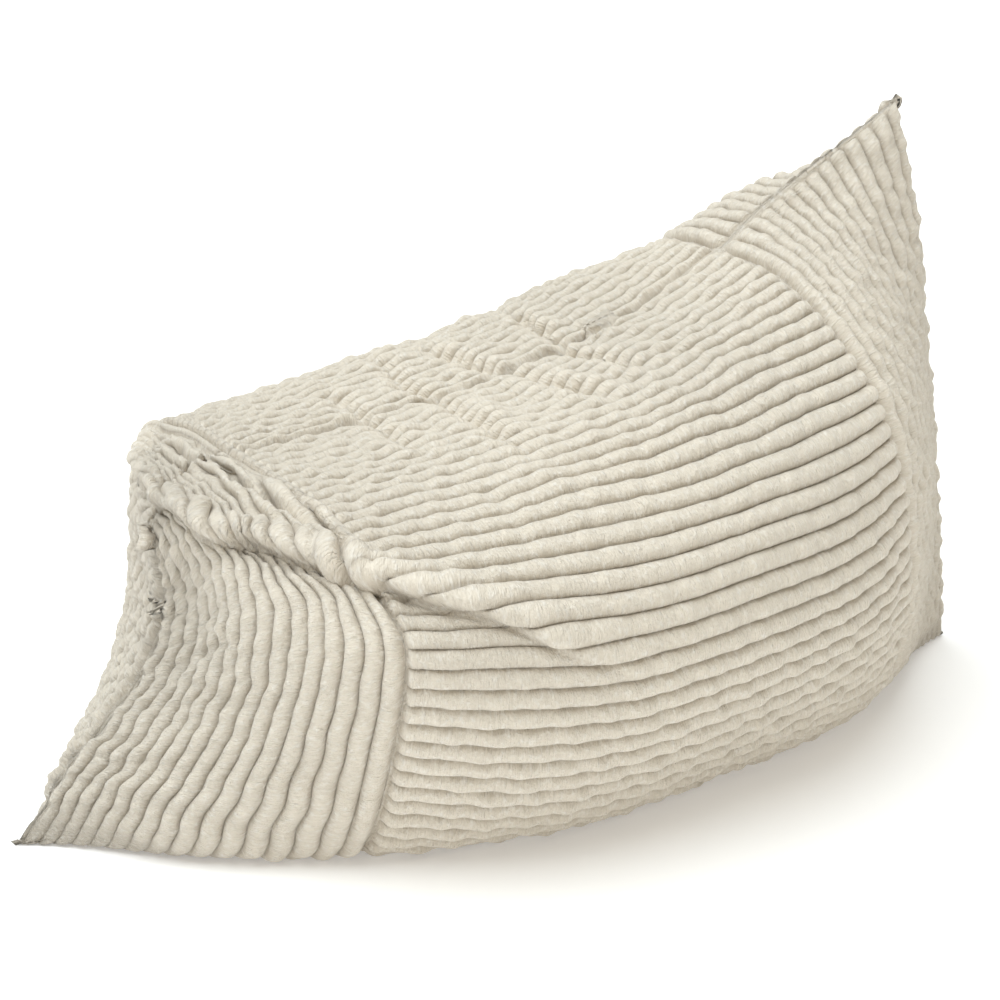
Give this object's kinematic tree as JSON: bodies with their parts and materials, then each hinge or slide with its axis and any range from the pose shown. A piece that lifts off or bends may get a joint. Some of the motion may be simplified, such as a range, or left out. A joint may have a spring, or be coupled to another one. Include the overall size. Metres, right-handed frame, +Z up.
{
  "type": "bean_bag_lounger",
  "caption": "Low bean bag lounger: a rectangular cushion on its long edge, rear corner raised as a pointed backrest, front corner an ear on the floor, wide-rib plush cover, zip up the rear",
  "frame": {"origin": "on the floor, at the middle of the footprint's bounding box", "axes": "+Z up; -Y towards the front ear and the sitter's feet; +Y towards the raised backrest corner; +X the sitter's left"},
  "size_m": [0.8911, 1.39, 0.815],
  "materials": {
    "plush_cord": "matte",
    "zip_tape": "matte",
    "zip_nylon": "satin",
    "zip_metal": "satin",
    "liner_cloth": "matte",
    "beads": "matte"
  },
  "bodies": {
    "bag": {"front_panel_left": "plush_cord", "front_panel_right": "plush_cord", "body_panel_left": "plush_cord", "body_panel_right": "plush_cord", "rear_panel_left": "plush_cord", "rear_panel_right": "plush_cord", "zip_tape_left": "zip_tape", "zip_tape_right": "zip_tape", "zip_coil_left": "zip_nylon", "zip_coil_right": "zip_nylon", "zip_bottom_stop": "zip_metal", "zip_top_stops": "zip_metal", "liner_left": "liner_cloth", "liner_right": "liner_cloth", "liner_zip_tape_left": "zip_tape", "liner_zip_tape_right": "zip_tape", "liner_zip_coil_left": "zip_nylon", "liner_zip_coil_right": "zip_nylon", "liner_zip_bottom_stop": "zip_metal", "liner_zip_top_stops": "zip_metal", "bean_fill": "beads"},
    "slider": {"zip_slider": "zip_metal"},
    "puller": {"zip_puller": "zip_metal"},
    "liner_slider": {"liner_zip_slider": "zip_metal"}
  },
  "joints": [
    {"name": "zip_slide", "type": "slide", "parent": "bag", "child": "slider", "axis": [0, -0.1755, 0.9845], "range_m": [0, 0.467]},
    {"name": "puller_flip", "type": "hinge", "parent": "slider", "child": "puller", "pos_m": [0, 0.67204, 0.11912], "axis": [1, 0, 0], "range_deg": [0, 160]},
    {"name": "liner_zip_slide", "type": "slide", "parent": "bag", "child": "liner_slider", "axis": [0, -0.1755, 0.9845], "range_m": [0, 0.467]}
  ]
}
